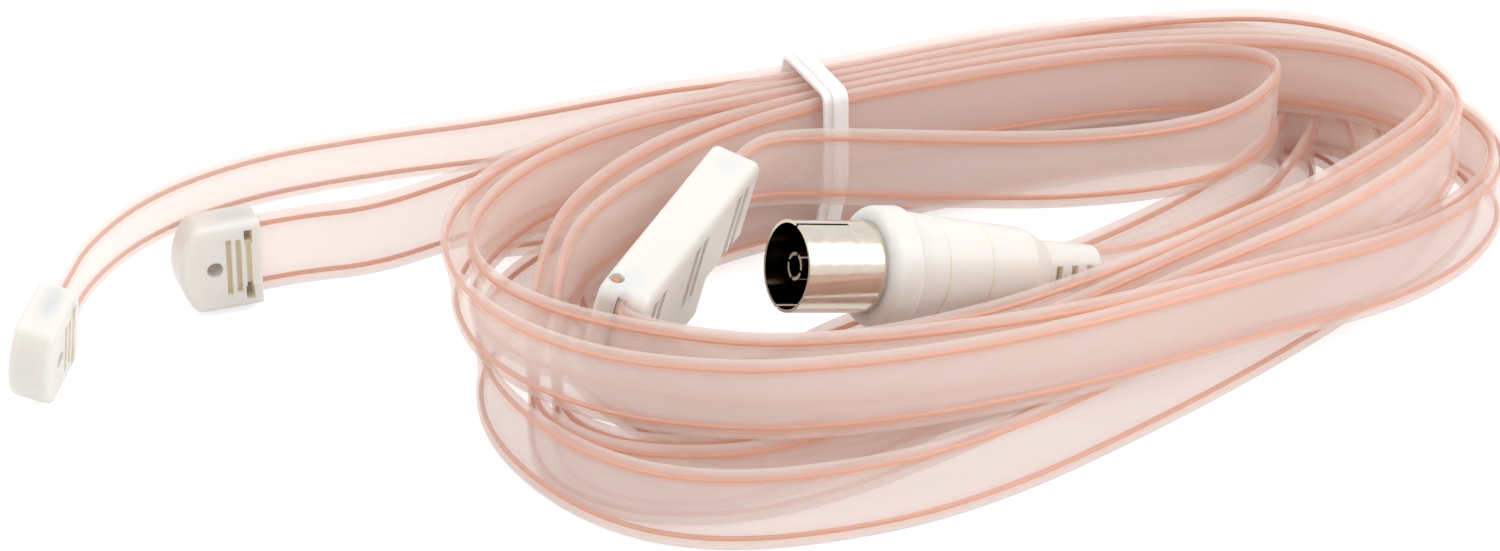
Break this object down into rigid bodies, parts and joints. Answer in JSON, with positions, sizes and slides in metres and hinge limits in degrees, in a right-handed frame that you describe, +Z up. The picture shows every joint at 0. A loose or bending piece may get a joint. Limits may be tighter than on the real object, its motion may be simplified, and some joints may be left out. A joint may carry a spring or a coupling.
{
  "type": "fm wire antenna",
  "caption": "FM dipole antenna of flat clear twin-lead ribbon wound in a loose hank, with moulded joint block, end caps with nail holes and a coaxial plug.",
  "frame": {"origin": "middle of the bounding box at the ground", "axes": "+X along the hank's length towards its round end away from the caps, +Z up, +Y towards the tied side"},
  "size_m": [0.1708, 0.0805, 0.0249],
  "materials": {
    "ribbon": "clear soft plastic with copper lines",
    "white_plastic": "satin",
    "dark_plastic": "matt",
    "copper": "bare wire",
    "nickel": "plated",
    "tie_plastic": "satin"
  },
  "bodies": {
    "root": {"feeder_ribbon": "ribbon", "arm_a_ribbon": "ribbon", "arm_b_ribbon": "ribbon", "joint_block": "white_plastic", "wire_end": "copper", "end_cap_a": "white_plastic", "end_cap_b": "white_plastic", "plug_sleeve": "nickel", "plug_insulator": "dark_plastic", "plug_contact": "nickel", "plug_body": "white_plastic", "cable_tie": "tie_plastic"}
  },
  "joints": []
}
